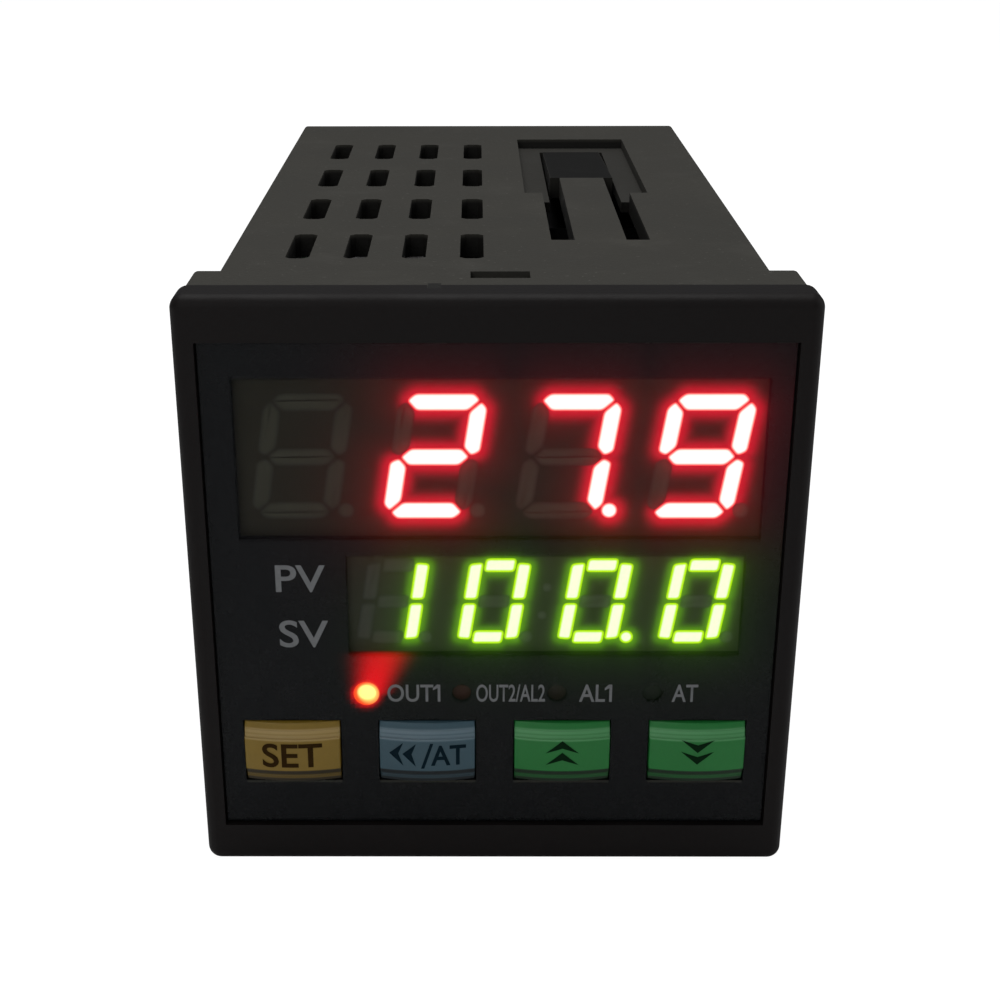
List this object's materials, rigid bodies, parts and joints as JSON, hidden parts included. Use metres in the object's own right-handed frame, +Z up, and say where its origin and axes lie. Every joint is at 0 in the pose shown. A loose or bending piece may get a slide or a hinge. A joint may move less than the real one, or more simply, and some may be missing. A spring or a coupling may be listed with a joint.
{
  "type": "panel temperature controller",
  "caption": "Square panel-mount temperature controller: framed smoked front with two digit displays, lamps and push keys, vented box case and screw terminals at the rear.",
  "frame": {"origin": "centre of the panel seat, the rear face of the flange, on the axis of the case", "axes": "+X to the right seen from the front, +Y into the panel along the case, +Z up; the front faces -Y"},
  "size_m": [0.048, 0.102, 0.048],
  "materials": {
    "case_plastic": "fine textured, warm dark grey",
    "bezel_plastic": "fine textured, near black",
    "film_smoke": "glossy dark smoke",
    "key_orange": "satin moulded",
    "key_grey": "satin moulded",
    "key_green": "satin moulded",
    "stem_plastic": "moulded",
    "switch_plastic": "moulded",
    "display_housing": "matte printed face",
    "lit_red": "lit red segments",
    "lit_green": "lit yellow-green segments",
    "unlit_segment": "unlit diffuser",
    "lamp_orange": "lit lamp",
    "lamp_red": "unlit lamp",
    "lamp_green": "unlit lamp",
    "board_green": "solder mask",
    "header_black": "moulded strip with pins",
    "capacitor_sleeve": "shrink sleeve",
    "core_iron": "ferrite",
    "winding_tape": "taped winding",
    "relay_blue": "moulded cover",
    "chip_black": "moulded package",
    "block_plastic": "moulded, near black",
    "contact_brass": "tinned brass",
    "zinc_steel": "bright zinc"
  },
  "bodies": {
    "case": {"case_sleeve": "case_plastic", "front_bezel": "bezel_plastic", "front_film": "film_smoke", "set_switch": "switch_plastic", "shift_switch": "switch_plastic", "up_switch": "switch_plastic", "down_switch": "switch_plastic", "pv_display_housing": "display_housing", "pv_lit_segments": "lit_red", "pv_unlit_segments": "unlit_segment", "sv_display_housing": "display_housing", "sv_lit_segments": "lit_green", "sv_unlit_segments": "unlit_segment", "out1_lamp": "lamp_orange", "out2_lamp": "lamp_red", "al1_lamp": "lamp_red", "at_lamp": "lamp_green", "display_board": "board_green", "power_board": "board_green", "main_board": "board_green", "left_header": "header_black", "right_header": "header_black", "mains_capacitor": "capacitor_sleeve", "output_capacitor": "capacitor_sleeve", "transformer_core": "core_iron", "transformer_winding": "winding_tape", "out1_relay": "relay_blue", "al1_relay": "relay_blue", "al2_relay": "relay_blue", "controller_chip": "chip_black", "terminal_block": "block_plastic", "terminal_contacts": "contact_brass", "terminal_washers": "zinc_steel", "terminal_screws": "zinc_steel"},
    "set_button": {"set_key": "key_orange", "set_stem": "stem_plastic"},
    "shift_button": {"shift_key": "key_grey", "shift_stem": "stem_plastic"},
    "up_button": {"up_key": "key_green", "up_stem": "stem_plastic"},
    "down_button": {"down_key": "key_green", "down_stem": "stem_plastic"}
  },
  "joints": [
    {"name": "set_press", "type": "slide", "parent": "case", "child": "set_button", "axis": [0, 1, 0], "range_m": [0, 0.0004], "stiffness_N_per_m": 2500},
    {"name": "shift_press", "type": "slide", "parent": "case", "child": "shift_button", "axis": [0, 1, 0], "range_m": [0, 0.0004], "stiffness_N_per_m": 2500},
    {"name": "up_press", "type": "slide", "parent": "case", "child": "up_button", "axis": [0, 1, 0], "range_m": [0, 0.0004], "stiffness_N_per_m": 2500},
    {"name": "down_press", "type": "slide", "parent": "case", "child": "down_button", "axis": [0, 1, 0], "range_m": [0, 0.0004], "stiffness_N_per_m": 2500}
  ]
}
